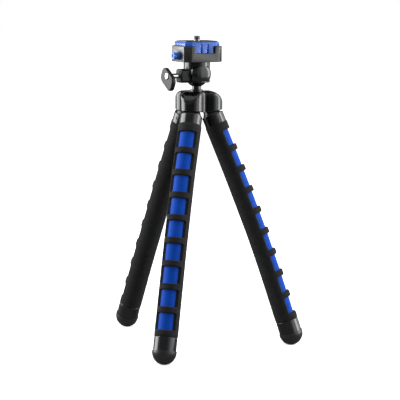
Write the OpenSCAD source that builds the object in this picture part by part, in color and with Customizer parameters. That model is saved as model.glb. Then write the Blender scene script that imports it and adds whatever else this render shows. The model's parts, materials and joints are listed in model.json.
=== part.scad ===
// Tabletop tripod with three bendable foam legs, a lockable ball head and a quick plate.
// Millimetres, +Z up. The floor is z = 0 and the head's front faces -Y.
// Along a leg, s runs down its axis from the hinge pin; there +X is outwards and +Y along the pin.

/* [Stance] */
// Angle of the legs from upright, measured from hinge to foot
leg_spread = 20.5; // [12:0.1:32]
// Inward bend of the front leg at its stations, from the top
front_bends = [4, 2, 0]; // [0:1:8]
// Inward bend of the right leg at its stations
right_bends = [1, 2, 1]; // [0:1:8]
// Inward bend of the back leg at its stations
back_bends = [1, 0, 1]; // [0:1:8]
// Sideways turn of the front, right and back leg in their lobes
leg_turns = [1, -20, 6]; // [-25:1:25]

/* [Leg] */
// Radius of the foam jacket
jacket_r = 10.9; // [9.5:0.1:11.5]
// Radius of the blue sleeve under the jacket
sleeve_r = 8.6; // [7:0.1:9]
// Windows along a leg
window_n = 9; // [9:1:11]
// Distance from one window to the next
window_pitch = 21.2; // [18:0.1:23]
// Length of a window along the leg
window_len = 15.6; // [11:0.1:16]
// Distance of a window's floor from the leg's axis
window_floor = 5; // [3.5:0.1:6.5]
// Radius between a window's floor and its ends
window_corner = 1.6; // [0.5:0.1:4]
// Foam above the first window
jacket_top = 8.2; // [7:0.1:14]
// Foam below the last window
jacket_end = 6.1; // [5:0.1:12]
// Length of a soft ring, where the leg bends
flex_len = 10; // [9.5:0.1:12]
// Radius of the bendable core wire
wire_r = 2; // [1:0.1:3]

/* [Collar and foot] */
// Radius of the collar under the hub
collar_r = 10.4; // [9:0.1:10.8]
// Height of the collar above the hinge pin
collar_up = 4; // [3:0.1:4.4]
// Height of the collar below the hinge pin
collar_down = 5.5; // [5.4:0.1:9]
// Radius of the ferrule above the foot
ferrule_r = 10.7; // [9.5:0.1:11.2]
// Height of the ferrule
ferrule_len = 12.3; // [10:0.1:18]
// Radius of the rubber foot
foot_r = 11.3; // [10.5:0.1:13]
// Height of the straight lip above the foot's dome
foot_lip = 1.2; // [0.5:0.1:3]
// Depth of the flat on which the dome stands
foot_flat = 0.4; // [0.2:0.1:1]
// Radius of the stem that holds the foot in its ferrule
foot_stem_r = 5; // [3:0.1:6]
// Length of that stem
foot_stem = 5; // [3:0.1:6]

/* [Hinge] */
// Radius of the hinge pin
pin_r = 1.5; // [1:0.1:2]
// Radius of the knuckle's eye
eye_r = 4.3; // [3.6:0.1:4.4]
// Width of the knuckle
eye_w = 8; // [5:0.1:9]
// Distance of the hinge pin outside the lobe's axis
hinge_out = 2.7; // [2:0.1:3]
// Radius of the knuckle's stem
stem_r = 3.5; // [2.5:0.1:3.8]
// Radius of the flange that keeps the stem in the hub
flange_r = 5.6; // [4.6:0.1:7]
// Thickness of that flange
flange_t = 2; // [1:0.1:3]
// Gap between the collar and the hub with a leg folded all the way out
hinge_gap = 0.4; // [0.4:0.1:2]

/* [Hub] */
// Distance of the lobes from the axis
lobe_out = 14.1; // [13.5:0.1:17]
// Radius of a lobe
lobe_r = 10.7; // [10:0.1:12]
// Radius of the core between the lobes
core_r = 10.8; // [9:0.1:12]
// Height of the hub
hub_h = 17.8; // [16:0.1:24]
// Radius of the rounded roof of a lobe
roof_r = 14; // [8:0.1:14]
// Slope of a lobe's underside, lower towards the middle
under_slope = 7; // [2:1:12]
// Thickness of the base plate
base_t = 3; // [2:0.1:4]
// Wall round the base plate
base_wall = 1.6; // [1:0.1:3]
// Radius of the hub bolt
bolt_r = 2.5; // [1.5:0.1:3]
// Radius of the hub bolt's head
bolt_head_r = 4.4; // [3.5:0.1:5]
// Height of the hub bolt's head
bolt_head_h = 2.4; // [1.5:0.1:4]

/* [Ball head] */
// Radius of the ball
ball_r = 10.9; // [10.4:0.05:11]
// Radius of the neck
neck_r = 4.45; // [3.9:0.05:4.6]
// Height of the ball's centre above the hub
neck_len = 14.3; // [14:0.1:20]
// Radius of the spigot that holds the neck in the hub
spigot_r = 3.5; // [3.2:0.1:4]
// Length of that spigot
spigot_len = 10; // [6:0.1:11]
// Outer radius of the ring at the foot of the neck
neck_ring_r = 6; // [5.4:0.1:7]
// Height of that ring
neck_ring_h = 1.2; // [0.8:0.1:1.6]
// Radius of the ball cup
cup_r = 12.4; // [12:0.1:14]
// Depth of the cup below the ball's centre
cup_down = 6.4; // [5.6:0.1:6.5]
// Height of the cup above the ball's centre
cup_up = 13.2; // [13.2:0.1:16]
// Radius of the round boss on the cup's front
boss_r = 10.4; // [9:0.1:11]
// Distance of the boss's face from the axis
boss_out = 13.2; // [13:0.1:14.5]
// Height of the boss's middle above the ball's centre
boss_up = 1.8; // [0:0.1:2]
// Radius of the boss's domed face
dome_r = 24; // [20:0.5:30]
// Radius of the cap in the boss
cap_r = 5.8; // [4:0.1:6.2]
// Thickness of the cap
cap_t = 1.4; // [1.2:0.1:1.5]
// Height of the retaining ring under the ball
keeper_h = 2.2; // [1.5:0.1:2.2]
// Radius of the retaining ring
keeper_r = 11.3; // [11.2:0.1:11.6]

/* [Wing screw] */
// Radius of the wing screw
wing_r = 2.4; // [1.5:0.1:3]
// Width of the square lug that the wing screw runs in
lug_w = 12.8; // [10:0.1:14]
// Rounding of the lug's corners
lug_round = 2.4; // [1:0.1:4]
// Distance of the lug's end from the axis
lug_out = 18.8; // [17:0.1:23]
// Distance of the knob from the axis
knob_out = 26.6; // [26.4:0.1:34]
// Thickness of the knob
knob_t = 4.4; // [3:0.1:6]
// Length of the knob's paddle
knob_len = 24.5; // [20:0.5:28]
// Width of the knob's paddle
knob_w = 15; // [13:0.1:18]
// Rounding of the paddle's corners
knob_round = 5.5; // [3:0.1:6]
// Distance of the paddle's middle from the screw, across its length
knob_aside = 3.6; // [0:0.1:4]
// Turn of the paddle from upright
knob_turn = 60; // [0:5:90]
// Radius of the round middle of the knob
knob_hub_r = 3.4; // [3.2:0.1:5]
// Height of that middle above the paddle
knob_hub_h = 1; // [0.3:0.1:1.5]
// Radius of the friction shoe
shoe_r = 2.6; // [2:0.1:2.9]
// Distance from the axis at which shoe and screw meet
shoe_out = 14; // [13:0.1:16]

/* [Clamp] */
// Width of the clamp
clamp_w = 40; // [38:0.5:48]
// Depth of the clamp from front to back
clamp_d = 36; // [34:0.5:44]
// Height of the clamp
clamp_h = 14.8; // [14:0.1:18]
// Corner chamfer of the clamp
clamp_c = 5.5; // [3:0.1:7]
// Depth of the pocket that takes the plate's tongue
pocket_h = 5.2; // [4.8:0.1:5.3]
// Width of the gap in the front wall
gap_w = 20; // [14:0.5:22]
// Depth of that gap
gap_h = 6.6; // [5:0.1:7]
// Radius of the clamp screws
clamp_screw_r = 1.5; // [1:0.1:1.8]
// Radius of the clamp screws' heads
clamp_head_r = 2.7; // [2:0.1:3]
// Height of the clamp screws' heads
clamp_head_h = 1.8; // [1:0.1:2]
// Reach of the clamp screws into the cup
clamp_screw_in = 1.6; // [1:0.1:1.6]
// Place of the clamp screws beside and behind the axis
clamp_screw_at = [7, 6.8]; // [6.4:0.1:7.4]

/* [Quick plate] */
// Width of the plate
plate_w = 36; // [34:0.5:44]
// Depth of the plate from front to back
plate_d = 32; // [31:0.5:40]
// Thickness of the plate above the clamp
plate_t = 3.8; // [3:0.1:6]
// Corner chamfer of the plate
plate_c = 5; // [2:0.1:6]
// Width of the tongue in the pocket
tongue_w = 30; // [28:0.5:32]
// Depth of the tongue from front to back
tongue_d = 26; // [24:0.5:27]
// Grooves in the front skirt
rib_n = 2; // [2:1:6]
// Width of a groove
rib_w = 1.6; // [0.6:0.1:2]
// Depth of a groove
rib_deep = 0.8; // [0.3:0.1:1.2]
// Thickness of the rubber pad
pad_t = 0.9; // [0.5:0.1:2]
// Rim of the plate that the pad leaves bare
pad_rim = 1.5; // [0.8:0.1:3]
// Radius of the camera screw, a quarter inch across
screw_r = 3.175; // [2.9:0.005:3.2]
// Height of the camera screw above the pad
screw_up = 4.6; // [3:0.1:6]
// Radius of the camera screw's head
screw_head_r = 4.8; // [4:0.1:4.9]
// Height of the camera screw's head
screw_head_h = 2.4; // [1.5:0.1:2.8]

/* [Release button] */
// Radius of the button
button_r = 3.55; // [3:0.05:3.6]
// Length of the button outside the clamp
button_out = 6; // [4:0.1:9]
// Travel of the button
button_travel = 2.6; // [1.5:0.1:2.7]
// Radius of the dimple in the button's end
dimple_r = 1.5; // [0.8:0.1:2]
// Depth of that dimple
dimple_deep = 0.8; // [0.4:0.1:1.5]
// Distance of the button in front of the axis
button_front = 1.5; // [0:0.1:2]
// Radius of the latch bar
latch_r = 1.8; // [1.2:0.1:2.2]
// Width of the latch's nose
nose_w = 4; // [2:0.1:5]
// Thickness of the latch's nose
nose_t = 3; // [2:0.1:3]
// Reach of the nose into the plate's tongue
nose_up = 2.6; // [1.5:0.1:2.8]
// Radius of the plug on the far side
plug_r = 3; // [2.6:0.1:4]
// Height of that plug outside the clamp
plug_out = 0.9; // [0.5:0.1:1.5]

/* [Hidden] */
$fn = 64;
run = 0.05;     // clearance of a running fit
loose = 0.2;    // clearance of a part that drops in
past = 1;       // how far a cut reaches past a face
tiny = 0.01;    // overlap that joins two shapes of one solid

FRONT = 0;
RIGHT = 1;
BACK = 2;
LEG_AZIMUTH = [-45, 75, -165];
BEND_AFTER = [2, 5, 7];             // windows above each bend station
LAST = len(BEND_AFTER);             // the last segment of a leg
leg_bends = [front_bends, right_bends, back_bends];

BLACK = "#1d1e20";
FOAM = "#2b2b2d";
RUBBER = "#3a3a3c";
BLUE = "#2145b5";
STEEL = "#b4b6b8";
WIRE = "#a8a9ab";

// Places along a leg
window_first = collar_down + jacket_top + window_len / 2;
jacket_stop = window_first + (window_n - 1) * window_pitch + window_len / 2 + jacket_end;
ferrule_stop = jacket_stop + ferrule_len;
foot_s = ferrule_stop + foot_lip;
station = [for (n = BEND_AFTER) window_first + (n - 0.5) * window_pitch];
collar_spigot = collar_down + jacket_top - 0.5;
ferrule_spigot = jacket_stop - jacket_end + 0.5;
wire_start = collar_down + 2;
wire_stop = ferrule_stop - foot_stem - 1.5;

// A leg's pose: the lean of its top that brings the foot down to the floor, and the foot's place
function segment_len(i) = (i == LAST ? foot_s : station[i]) - (i == 0 ? 0 : station[i - 1]);
function bend_to(k, i) = i == 0 ? 0 : leg_bends[k][i - 1] + bend_to(k, i - 1);
function total(v, i = 0) = i == len(v) ? 0 : v[i] + total(v, i + 1);
function straight(k) = total([for (i = [0:LAST]) segment_len(i) * cos(bend_to(k, i))]);
function aside(k) = total([for (i = [0:LAST]) segment_len(i) * sin(bend_to(k, i))]);
drop = foot_s * cos(leg_spread);
hinge_h = drop + foot_r - foot_flat;
function lean(k) = acos(drop / norm([straight(k), aside(k)])) + atan2(aside(k), straight(k));
function reach(k) = total([for (i = [0:LAST]) segment_len(i) * sin(lean(k) - bend_to(k, i))]);
function heading(a) = [sin(a), -cos(a)];
function foot_at(k) = lobe_out * heading(LEG_AZIMUTH[k])
    + (hinge_out + reach(k)) * heading(LEG_AZIMUTH[k] + leg_turns[k]);

// The hub clears the collars' upper edges when the legs fold out and swing by the last of their travel
FOLD_OUT = 2;
SWING = 25;
top_lean = max([for (k = [FRONT:BACK]) lean(k)]) + FOLD_OUT;
hinge_drop = collar_r * sin(top_lean) + collar_up * cos(top_lean) + hinge_gap;
collar_reach = hinge_out + collar_r * cos(top_lean) - collar_up * sin(top_lean);
under_from = lobe_out + collar_reach * cos(SWING);  // where an underside is level with the base plate
skirt_drop = under_from * tan(under_slope);

// The origin is under the middle of the feet's box, so the hub's axis stands beside it
foot_x = [for (k = [FRONT:BACK]) foot_at(k)[0]];
foot_y = [for (k = [FRONT:BACK]) foot_at(k)[1]];
axis_at = [-(max(foot_x) + min(foot_x)) / 2, -(max(foot_y) + min(foot_y)) / 2];

// A lobe's roof is flat out to here, and the core stays inside that
roof_out = lobe_out + lobe_r + 0.3 - roof_r;
hub_core = min(core_r, roof_out - 0.2);

// Heights of the hub and head
hub_z = hinge_h + hinge_drop;
hub_top = hub_z + hub_h;
ball_z = hub_top + neck_len;
clamp_z = ball_z + cup_up;
clamp_top = clamp_z + clamp_h;
pocket_z = clamp_top - pocket_h;
plate_top = clamp_top + plate_t;
tongue_z = pocket_z + loose;
pad_top = plate_top + pad_t;
button_h = clamp_h - pocket_h - button_r - 0.5;  // above the clamp's underside
button_z = clamp_z + button_h;

// Cup, shoe and latch
ball_bore = ball_r + run;
keeper_z = -cup_down + keeper_h;                // top of the retaining ring below the ball's centre
seat_z = shoe_r + 0.8;                          // foot of the seat ring above the ball's centre
cavity_up = ball_r + 0.3;
nose_at = -tongue_w / 2 + 2.5;                  // outer face of the latch's nose
button_in = nose_at - 1.5;                      // inner end of the button
button_bore = button_r + run;
spring_stop = 2;
skirt_in = 1 - tongue_d / 2;                    // inner face of the plate's front skirt
shank_r = screw_r - 0.5;                        // the camera screw below its thread
latch_stop = clamp_w / 2 - 6;
notch = [nose_t + button_travel + 2 * loose, nose_w + 2 * loose];

// Frames

// Puts its children on the hub's axis
module on_axis(z = 0) {
    translate([axis_at[0], axis_at[1], z]) children();
}

// Puts its children at a leg's hinge, upright and facing the way the leg is turned
module at_hinge(k) {
    on_axis(hinge_h)
        rotate(LEG_AZIMUTH[k] - 90) translate([lobe_out, 0, 0])
            rotate(leg_turns[k]) translate([hinge_out, 0, 0]) children();
}

// Turns its children by the bends above segment i of a leg
module bent(k, i, from = 0) {
    if (from < i)
        translate([0, 0, -station[from]]) rotate([0, leg_bends[k][from], 0])
            translate([0, 0, station[from]]) bent(k, i, from + 1) children();
    else
        children();
}

// Puts its children on segment i of a leg, with z = -s
module on_leg(k, i) {
    at_hinge(k) rotate([0, -lean(k), 0]) bent(k, i) children();
}

// Shapes

// Rectangle with its corners cut at 45 degrees
module chamfered(w, d, c) {
    x = w / 2;
    y = d / 2;
    polygon([
        [-x, c - y], [c - x, -y], [x - c, -y], [x, c - y],
        [x, y - c], [x - c, y], [c - x, y], [-x, y - c]
    ]);
}

// Rectangle with round corners
module rounded(w, h, r) {
    square([w - 2 * r, h], center = true);
    square([w, h - 2 * r], center = true);
    for (x = [-1, 1], y = [-1, 1])
        translate([x * (w / 2 - r), y * (h / 2 - r)]) circle(r);
}

// Disc with its upper edge rounded
module rounded_disc(r, h, f) {
    rotate_extrude() {
        square([r - f, h]);
        square([r, h - f]);
        translate([r - f, h - f]) intersection() {
            circle(f);
            square(f);
        }
    }
}

// Tube along a leg from s = a to s = b, or a rod where its bore is 0
module leg_tube(r, bore, a, b) {
    translate([0, 0, -b]) difference() {
        cylinder(h = b - a, r = r);
        if (bore > 0) translate([0, 0, -past]) cylinder(h = b - a + 2 * past, r = bore);
    }
}

// Foam tube from s = a to s = b with its windows notched across the outer side
module windowed_tube(bore, a, b) {
    deep = jacket_r + past - window_floor + window_corner;
    difference() {
        leg_tube(jacket_r, bore, a, b);
        for (n = [0:window_n - 1]) {
            s = window_first + n * window_pitch;
            if (s + window_len / 2 > a && s - window_len / 2 < b)
                translate([window_floor + deep / 2, 0, -s]) rotate([90, 0, 0])
                    linear_extrude(2 * (jacket_r + past), center = true)
                        rounded(deep, window_len, window_corner);
        }
    }
}

// A rod that follows all the bends of a leg from s = a to s = b, with a round knee at each station
module leg_rod(k, r, a, b) {
    knee = [for (bend = leg_bends[k]) r * tan(bend / 2) + 0.3];
    for (i = [0:LAST]) on_leg(k, i) {
        leg_tube(r, 0, i == 0 ? a : station[i - 1] + knee[i - 1], i == LAST ? b : station[i] - knee[i]);
        if (i < LAST) translate([0, 0, -station[i]]) sphere(norm([r, knee[i]]) + tiny);
    }
}

// Legs

module leg_knuckle(k) {
    stem_top = hinge_drop + base_t + flange_t + 4;
    color(BLACK) at_hinge(k) difference() {
        union() {
            rotate([90, 0, 0]) cylinder(h = eye_w, r = eye_r, center = true);
            translate([-hinge_out, 0, 0]) {
                cylinder(h = stem_top, r = stem_r);
                translate([0, 0, hinge_drop + base_t]) cylinder(h = flange_t, r = flange_r);
            }
        }
        rotate([90, 0, 0]) cylinder(h = eye_w + 2 * past, r = pin_r + run, center = true);
    }
}

module leg_hinge_pin(k) {
    color(STEEL) on_leg(k, 0) translate([0, collar_r - 0.6, 0])
        rotate([90, 0, 0]) cylinder(h = 2 * collar_r - 3.1, r = pin_r);
}

module leg_collar(k) {
    edge = 0.8;
    pocket = [hinge_out + stem_r + loose, eye_r + loose, eye_w / 2 + loose];
    color(BLACK) on_leg(k, 0) difference() {
        union() {
            translate([0, 0, -collar_down]) rounded_disc(collar_r, collar_up + collar_down, edge);
            leg_tube(sleeve_r, 0, collar_down - tiny, collar_spigot);
        }
        translate([-pocket[0], -pocket[2], -pocket[1]])
            cube([pocket[0] + pocket[1], 2 * pocket[2], pocket[1] + collar_up + past]);
        translate([0, collar_r + past, 0]) rotate([90, 0, 0])
            cylinder(h = 2 * collar_r - 2.5 + past, r = pin_r + tiny);
        leg_tube(wire_r + run, 0, wire_start, collar_spigot + past);
    }
}

module leg_jacket(k, i) {
    a = i == 0 ? collar_down : station[i - 1] + flex_len / 2;
    b = i == LAST ? jacket_stop : station[i] - flex_len / 2;
    color(FOAM) on_leg(k, i) windowed_tube(sleeve_r + run, a, b);
}

module leg_flex_rings(k) {
    size = 4 * jacket_r;
    end = flex_len / 2;
    color(FOAM) for (i = [0:LAST - 1]) {
        half = leg_bends[k][i] / 2;
        s = station[i];
        on_leg(k, i) translate([0, 0, -s]) rotate([0, half, 0]) difference() {
            translate([0, 0, s]) windowed_tube(sleeve_r + loose, s - end - past, s + end + past);
            rotate([0, -half, 0]) translate([-size / 2, -size / 2, end]) cube(size);
            rotate([0, half, 0]) translate([-size / 2, -size / 2, -end - size]) cube(size);
        }
    }
}

module leg_sleeve(k) {
    color(BLUE) difference() {
        leg_rod(k, sleeve_r, collar_spigot, ferrule_spigot);
        leg_rod(k, wire_r + run, collar_spigot - past, ferrule_spigot + past);
    }
}

module leg_core_wire(k) {
    color(WIRE) leg_rod(k, wire_r, wire_start, wire_stop);
}

module leg_ferrule(k) {
    edge = 0.6;
    color(BLACK) on_leg(k, LAST) difference() {
        union() {
            translate([0, 0, -ferrule_stop]) rounded_disc(ferrule_r, ferrule_len, edge);
            leg_tube(sleeve_r, 0, ferrule_spigot, jacket_stop + tiny);
        }
        leg_tube(wire_r + run, 0, ferrule_spigot - past, wire_stop);
        leg_tube(foot_stem_r + run, 0, ferrule_stop - foot_stem, ferrule_stop + past);
    }
}

module leg_foot(k) {
    box = 8 * foot_r;
    color(RUBBER) intersection() {
        on_leg(k, LAST) {
            translate([0, 0, -foot_s]) rotate_extrude() intersection() {
                union() {
                    circle(foot_r);
                    square([foot_r, foot_lip]);
                }
                translate([0, -foot_r]) square([foot_r, foot_r + foot_lip]);
            }
            translate([0, 0, -ferrule_stop - tiny]) cylinder(h = foot_stem, r = foot_stem_r);
        }
        translate([foot_x[k] + axis_at[0] - box / 2, foot_y[k] + axis_at[1] - box / 2, 0]) cube(box);
    }
}

// Hub

// Outline of the hub, drawn in by a margin
module hub_outline(margin = 0) {
    circle(hub_core - margin);
    for (a = LEG_AZIMUTH)
        rotate(a - 90) translate([lobe_out, 0]) circle(lobe_r - margin);
}

// What is cut from a lobe's top to round its roof
module roof_cut() {
    rotate([90, 0, 0]) linear_extrude(2 * lobe_r + past, center = true)
        translate([roof_out, hub_h - roof_r]) difference() {
            square(roof_r + past);
            circle(roof_r);
        }
}

// What is cut from below a lobe to slope its underside
module under_cut() {
    size = 4 * (lobe_out + lobe_r);
    translate([under_from, 0, 0]) rotate([0, -under_slope, 0])
        translate([-size / 2, -size / 2, -size]) cube(size);
}

module hub_shell() {
    stem_room = base_t + flange_t + 4.5;
    color(BLACK) on_axis(hub_z) difference() {
        translate([0, 0, -skirt_drop]) linear_extrude(skirt_drop + hub_h) hub_outline();
        translate([0, 0, -skirt_drop - past])
            linear_extrude(skirt_drop + base_t + past) hub_outline(base_wall);
        for (a = LEG_AZIMUTH) rotate(a - 90) {
            roof_cut();
            under_cut();
            translate([lobe_out, 0, 0]) cylinder(h = base_t + flange_t + loose, r = flange_r + loose);
            translate([lobe_out, 0, 0]) cylinder(h = stem_room, r = stem_r + run);
        }
        cylinder(h = hub_h, r = bolt_r + loose);
        translate([0, 0, hub_h - spigot_len]) cylinder(h = spigot_len + past, r = spigot_r + run);
    }
}

module hub_base() {
    color(BLACK) on_axis(hub_z) difference() {
        linear_extrude(base_t) hub_outline(base_wall + run);
        for (a = LEG_AZIMUTH) rotate(a - 90) translate([lobe_out, 0, -past])
            cylinder(h = base_t + 2 * past, r = stem_r + run);
        translate([0, 0, -past]) cylinder(h = base_t + 2 * past, r = bolt_r + loose);
    }
}

module hub_bolt() {
    color(STEEL) on_axis(hub_z) difference() {
        union() {
            cylinder(h = hub_h - 2, r = bolt_r);
            translate([0, 0, -bolt_head_h]) cylinder(h = bolt_head_h, r = bolt_head_r);
        }
        translate([0, 0, -bolt_head_h - past]) cylinder(h = 1.4 + past, r = 1.5 / cos(30), $fn = 6);
    }
}

module ball_stud() {
    color(BLACK) on_axis(hub_top) difference() {
        union() {
            translate([0, 0, neck_len]) sphere(ball_r);
            cylinder(h = neck_len, r = neck_r);
            translate([0, 0, -spigot_len]) cylinder(h = spigot_len + tiny, r = spigot_r);
        }
        translate([0, 0, -spigot_len - past]) cylinder(h = spigot_len + past - 1, r = bolt_r + run);
    }
}

module neck_ring() {
    edge = 0.5;
    color(BLACK) on_axis(hub_top) difference() {
        rounded_disc(neck_ring_r, neck_ring_h, edge);
        translate([0, 0, -past]) cylinder(h = neck_ring_h + 2 * past, r = neck_r + run);
    }
}

// Ball head

module ball_seat() {
    color(RUBBER) on_axis(ball_z) difference() {
        translate([0, 0, seat_z]) cylinder(h = cavity_up - seat_z, r = ball_bore - run);
        cylinder(h = cavity_up + past, r = ball_r / 2);
        sphere(ball_bore);
    }
}

// Puts its children on the boss's axis, facing the front
module on_boss() {
    translate([0, 0, boss_up]) rotate([90, 0, 0]) children();
}

// A round block that starts at a height and ends in the boss's domed face
module domed(r, from) {
    rotate_extrude() intersection() {
        translate([0, from]) square([r, boss_out - from]);
        translate([0, boss_out - dome_r]) circle(dome_r, $fn = 360);
    }
}

module socket_cup() {
    lug_root = sqrt(cup_r * cup_r - lug_w * lug_w / 4) - 0.4;
    color(BLACK) on_axis(ball_z) difference() {
        union() {
            translate([0, 0, -cup_down]) cylinder(h = cup_down + cup_up, r = cup_r);
            difference() {
                on_boss() domed(boss_r, 0);
                translate([-boss_r, -2 * boss_out, -cup_down - boss_r])
                    cube([2 * boss_r, 2 * boss_out, boss_r]);
            }
            rotate([0, -90, 0]) translate([0, 0, lug_root])
                linear_extrude(lug_out - lug_root) rounded(lug_w, lug_w, lug_round);
        }
        translate([0, 0, -cup_down - past]) cylinder(h = keeper_h + past, r = keeper_r + run);
        translate([0, 0, keeper_z - tiny]) cylinder(h = cavity_up - keeper_z + tiny, r = ball_bore);
        on_boss() translate([0, 0, boss_out - cap_t]) cylinder(h = cap_t + past, r = cap_r + run);
        rotate([0, -90, 0]) {
            cylinder(h = shoe_out, r = shoe_r + run);
            translate([0, 0, shoe_out - tiny]) cylinder(h = lug_out, r = wing_r + run);
        }
        for (x = [-1, 1])
            translate([x * clamp_screw_at[0], clamp_screw_at[1], cup_up - clamp_screw_in - loose])
                cylinder(h = clamp_screw_in + past, r = clamp_screw_r + run);
    }
}

module retaining_ring() {
    color(BLACK) on_axis(ball_z) difference() {
        translate([0, 0, -cup_down]) cylinder(h = keeper_h, r = keeper_r);
        sphere(ball_bore);
    }
}

module friction_shoe() {
    color(RUBBER) on_axis(ball_z) difference() {
        rotate([0, -90, 0]) cylinder(h = shoe_out, r = shoe_r);
        sphere(ball_bore);
    }
}

module front_cap() {
    color(RUBBER) on_axis(ball_z) on_boss() domed(cap_r, boss_out - cap_t);
}

module wing_screw() {
    color(STEEL) on_axis(ball_z) rotate([0, -90, 0])
        translate([0, 0, shoe_out]) cylinder(h = knob_out - shoe_out + knob_t / 2, r = wing_r);
}

module wing_knob() {
    color(BLACK) on_axis(ball_z) rotate([0, -90, 0]) rotate(knob_turn) difference() {
        translate([0, 0, knob_out]) union() {
            translate([0, knob_aside, 0]) linear_extrude(knob_t) rounded(knob_len, knob_w, knob_round);
            rounded_disc(knob_hub_r, knob_t + knob_hub_h, 0.5);
        }
        cylinder(h = knob_out + knob_t / 2, r = wing_r + tiny);
    }
}

// Clamp and quick plate

module clamp_body() {
    color(BLACK) on_axis(clamp_z) difference() {
        linear_extrude(clamp_h) chamfered(clamp_w, clamp_d, clamp_c);
        translate([0, 0, clamp_h - pocket_h]) linear_extrude(pocket_h + past)
            square([tongue_w + 2 * loose, tongue_d + 2 * loose], center = true);
        translate([-gap_w / 2, -clamp_d / 2 - past, clamp_h - gap_h])
            cube([gap_w, clamp_d / 2 + past + skirt_in + loose, gap_h + past]);
        translate([-clamp_w / 2 - past, -button_front, button_h]) rotate([0, 90, 0]) {
            cylinder(h = clamp_w / 2 + past + spring_stop, r = button_bore);
            cylinder(h = clamp_w + 2 * past, r = latch_r + run);
        }
        translate([nose_at - loose, -button_front - notch[1] / 2, button_h])
            cube([notch[0], notch[1], clamp_h]);
        for (x = [-1, 1]) translate([x * clamp_screw_at[0], clamp_screw_at[1], -past]) {
            cylinder(h = clamp_h, r = clamp_screw_r + run);
            translate([0, 0, past + clamp_h - pocket_h - clamp_head_h])
                cylinder(h = clamp_head_h + past, r = clamp_head_r + run);
        }
    }
}

module clamp_screws() {
    head_z = clamp_h - pocket_h - clamp_head_h;
    color(STEEL) on_axis(clamp_z) for (x = [-1, 1])
        translate([x * clamp_screw_at[0], clamp_screw_at[1], 0]) difference() {
            union() {
                translate([0, 0, -clamp_screw_in])
                    cylinder(h = head_z + clamp_screw_in + tiny, r = clamp_screw_r);
                translate([0, 0, head_z]) cylinder(h = clamp_head_h, r = clamp_head_r);
            }
            translate([0, 0, head_z + clamp_head_h - 0.8]) cylinder(h = 1, r = 1.1, $fn = 6);
        }
}

module side_plug() {
    color(BLACK) on_axis(button_z) translate([0, -button_front, 0]) rotate([0, 90, 0]) {
        translate([0, 0, clamp_w / 2]) rounded_disc(plug_r, plug_out, 0.4);
        translate([0, 0, clamp_w / 2 - 3]) cylinder(h = 3 + tiny, r = latch_r);
    }
}

module quick_plate() {
    skirt_top = plate_top - plate_t / 2;
    skirt_z = clamp_top - gap_h + loose;
    skirt_w = gap_w - 2 * loose;
    skirt_pitch = skirt_w / (rib_n + 1);
    color(BLUE) on_axis() difference() {
        union() {
            translate([0, 0, clamp_top]) linear_extrude(plate_t) chamfered(plate_w, plate_d, plate_c);
            translate([0, 0, tongue_z]) linear_extrude(clamp_top - tongue_z + tiny)
                square([tongue_w, tongue_d], center = true);
            translate([-skirt_w / 2, -plate_d / 2, skirt_z])
                cube([skirt_w, plate_d / 2 + skirt_in, skirt_top - skirt_z]);
        }
        for (n = [1:rib_n]) translate([n * skirt_pitch - skirt_w / 2, -plate_d / 2, skirt_z - past])
            translate([-rib_w / 2, -past, 0]) cube([rib_w, rib_deep + past, skirt_top - skirt_z + past]);
        translate([0, 0, tongue_z - past]) {
            cylinder(h = plate_top - tongue_z + 2 * past, r = shank_r + run);
            cylinder(h = screw_head_h + loose + past, r = screw_head_r + loose);
        }
        translate([nose_at - loose, -button_front - notch[1] / 2, tongue_z - past])
            cube([notch[0], notch[1], past + nose_up + loose]);
    }
}

module plate_pad() {
    color(RUBBER) on_axis(plate_top) difference() {
        linear_extrude(pad_t)
            chamfered(plate_w - 2 * pad_rim, plate_d - 2 * pad_rim, plate_c - pad_rim * 0.6);
        translate([0, 0, -past]) cylinder(h = pad_t + 2 * past, r = screw_r + loose);
    }
}

module camera_screw() {
    slot = [1.2, 1];
    head_z = tongue_z + loose;
    color(STEEL) on_axis() difference() {
        union() {
            translate([0, 0, head_z]) cylinder(h = screw_head_h, r = screw_head_r);
            translate([0, 0, head_z]) cylinder(h = pad_top - head_z + tiny, r = shank_r);
            translate([0, 0, pad_top]) cylinder(h = screw_up, r = screw_r);
        }
        translate([-screw_head_r - past, -slot[0] / 2, head_z - past])
            cube([2 * screw_head_r + 2 * past, slot[0], slot[1] + past]);
    }
}

// Release button

module release_button() {
    len = clamp_w / 2 + button_out + button_in;
    color(BLUE) on_axis(button_z) translate([button_in, -button_front, 0])
        rotate([0, -90, 0]) difference() {
            rounded_disc(button_r, len, 0.6);
            translate([0, 0, len - dimple_deep]) cylinder(h = dimple_deep + past, r = dimple_r);
        }
}

module latch_bar() {
    color(STEEL) on_axis(button_z) translate([0, -button_front, 0]) {
        translate([button_in, 0, 0]) rotate([0, 90, 0]) cylinder(h = latch_stop - button_in, r = latch_r);
        translate([nose_at, -nose_w / 2, 0])
            cube([nose_t, nose_w, tongue_z + nose_up - button_z]);
    }
}

module button_spring() {
    from = nose_at + nose_t;
    color(STEEL) on_axis(button_z) translate([from, -button_front, 0]) rotate([0, 90, 0]) difference() {
        cylinder(h = spring_stop - from, r = button_r - loose);
        translate([0, 0, -past]) cylinder(h = spring_stop - from + 2 * past, r = latch_r + loose);
    }
}

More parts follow.
